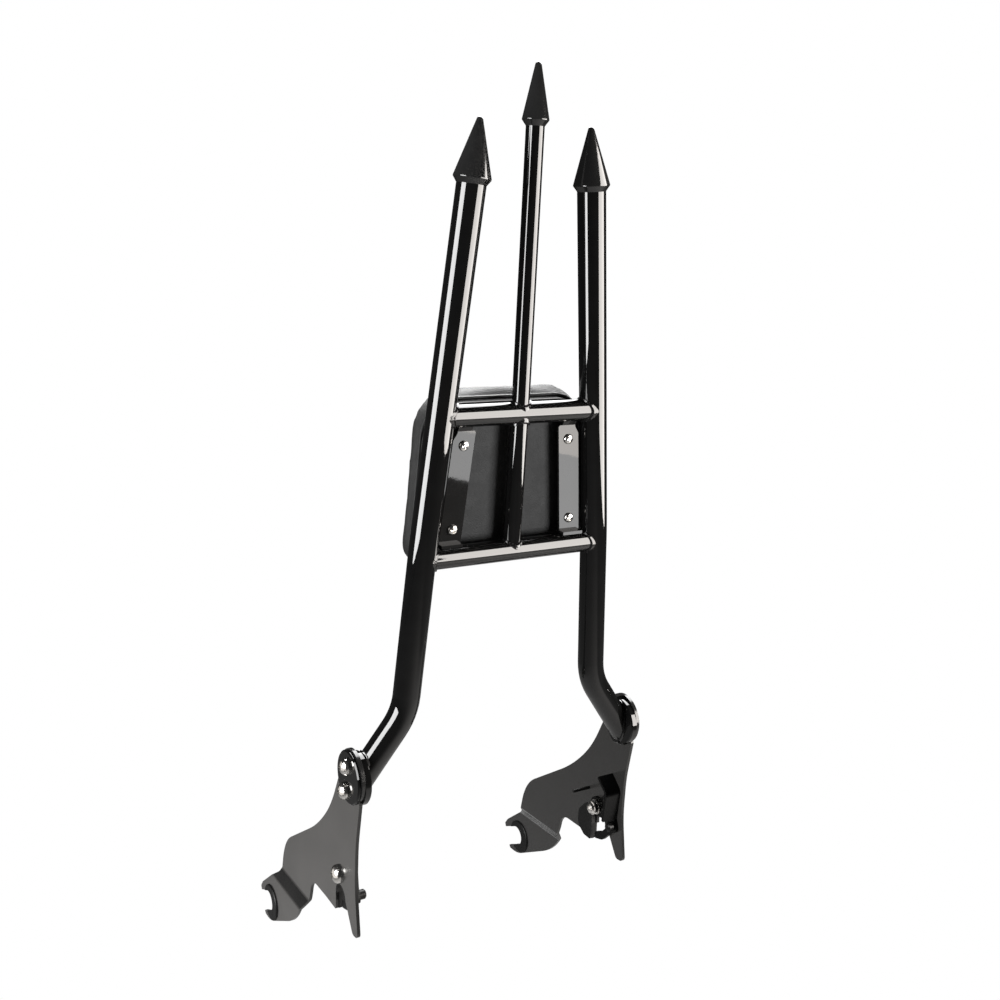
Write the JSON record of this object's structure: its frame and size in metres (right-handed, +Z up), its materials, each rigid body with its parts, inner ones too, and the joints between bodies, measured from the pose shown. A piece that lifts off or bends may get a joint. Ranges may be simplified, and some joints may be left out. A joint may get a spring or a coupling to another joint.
{
  "type": "motorcycle passenger backrest",
  "caption": "Detachable motorcycle passenger backrest: bent tube frame with spear tips, padded back, joggled side plates with docking notches and swinging latches.",
  "frame": {"origin": "on the mid plane, between the two rear docking notches", "axes": "+X the rider's right, +Y forward on the motorcycle, +Z up"},
  "size_m": [0.3218, 0.3298, 0.8638],
  "materials": {
    "gloss_black_tube": "gloss",
    "black_plate": "satin",
    "black_strap": "gloss",
    "gloss_cover": "gloss",
    "black_tip": "semi-gloss",
    "black_latch": "satin",
    "black_nylon": "matt",
    "black_vinyl": "pebbled",
    "foam": "open cell",
    "plywood": "raw",
    "bright_fastener": "polished"
  },
  "bodies": {
    "backrest": {"center_post": "gloss_black_tube", "center_rod": "gloss_black_tube", "center_spear_tip": "black_tip", "frame_welds": "gloss_black_tube", "left_cover_disc": "gloss_cover", "left_front_liner": "black_nylon", "left_lug_weld": "gloss_black_tube", "left_mount_lug": "gloss_black_tube", "left_pad_strap": "black_strap", "left_pivot_bolt": "bright_fastener", "left_pivot_nut": "bright_fastener", "left_pivot_washer": "bright_fastener", "left_rear_liner": "black_nylon", "left_side_plate": "black_plate", "left_spear_tip": "black_tip", "left_stop_pin": "black_latch", "left_upright_tube": "gloss_black_tube", "lower_crossbar": "gloss_black_tube", "lug_bolts": "bright_fastener", "pad_back_panel": "black_vinyl", "pad_board": "plywood", "pad_cover": "black_vinyl", "pad_foam": "foam", "pad_inserts": "bright_fastener", "pad_piping": "black_vinyl", "pad_screws": "bright_fastener", "pad_spacers": "black_nylon", "right_cover_disc": "gloss_cover", "right_front_liner": "black_nylon", "right_lug_weld": "gloss_black_tube", "right_mount_lug": "gloss_black_tube", "right_pad_strap": "black_strap", "right_pivot_bolt": "bright_fastener", "right_pivot_nut": "bright_fastener", "right_pivot_washer": "bright_fastener", "right_rear_liner": "black_nylon", "right_side_plate": "black_plate", "right_spear_tip": "black_tip", "right_stop_pin": "black_latch", "right_upright_tube": "gloss_black_tube", "upper_crossbar": "gloss_black_tube"},
    "left_lever": {"left_latch": "black_latch", "left_latch_knob": "black_latch"},
    "right_lever": {"right_latch": "black_latch", "right_latch_knob": "black_latch"}
  },
  "joints": [
    {"name": "left_latch_hinge", "type": "hinge", "parent": "backrest", "child": "left_lever", "pos_m": [-0.14575, 0.006, 0.025], "axis": [1, 0, 0], "range_deg": [-60, 0]},
    {"name": "right_latch_hinge", "type": "hinge", "parent": "backrest", "child": "right_lever", "pos_m": [0.14575, 0.006, 0.025], "axis": [1, 0, 0], "range_deg": [-60, 0]}
  ]
}
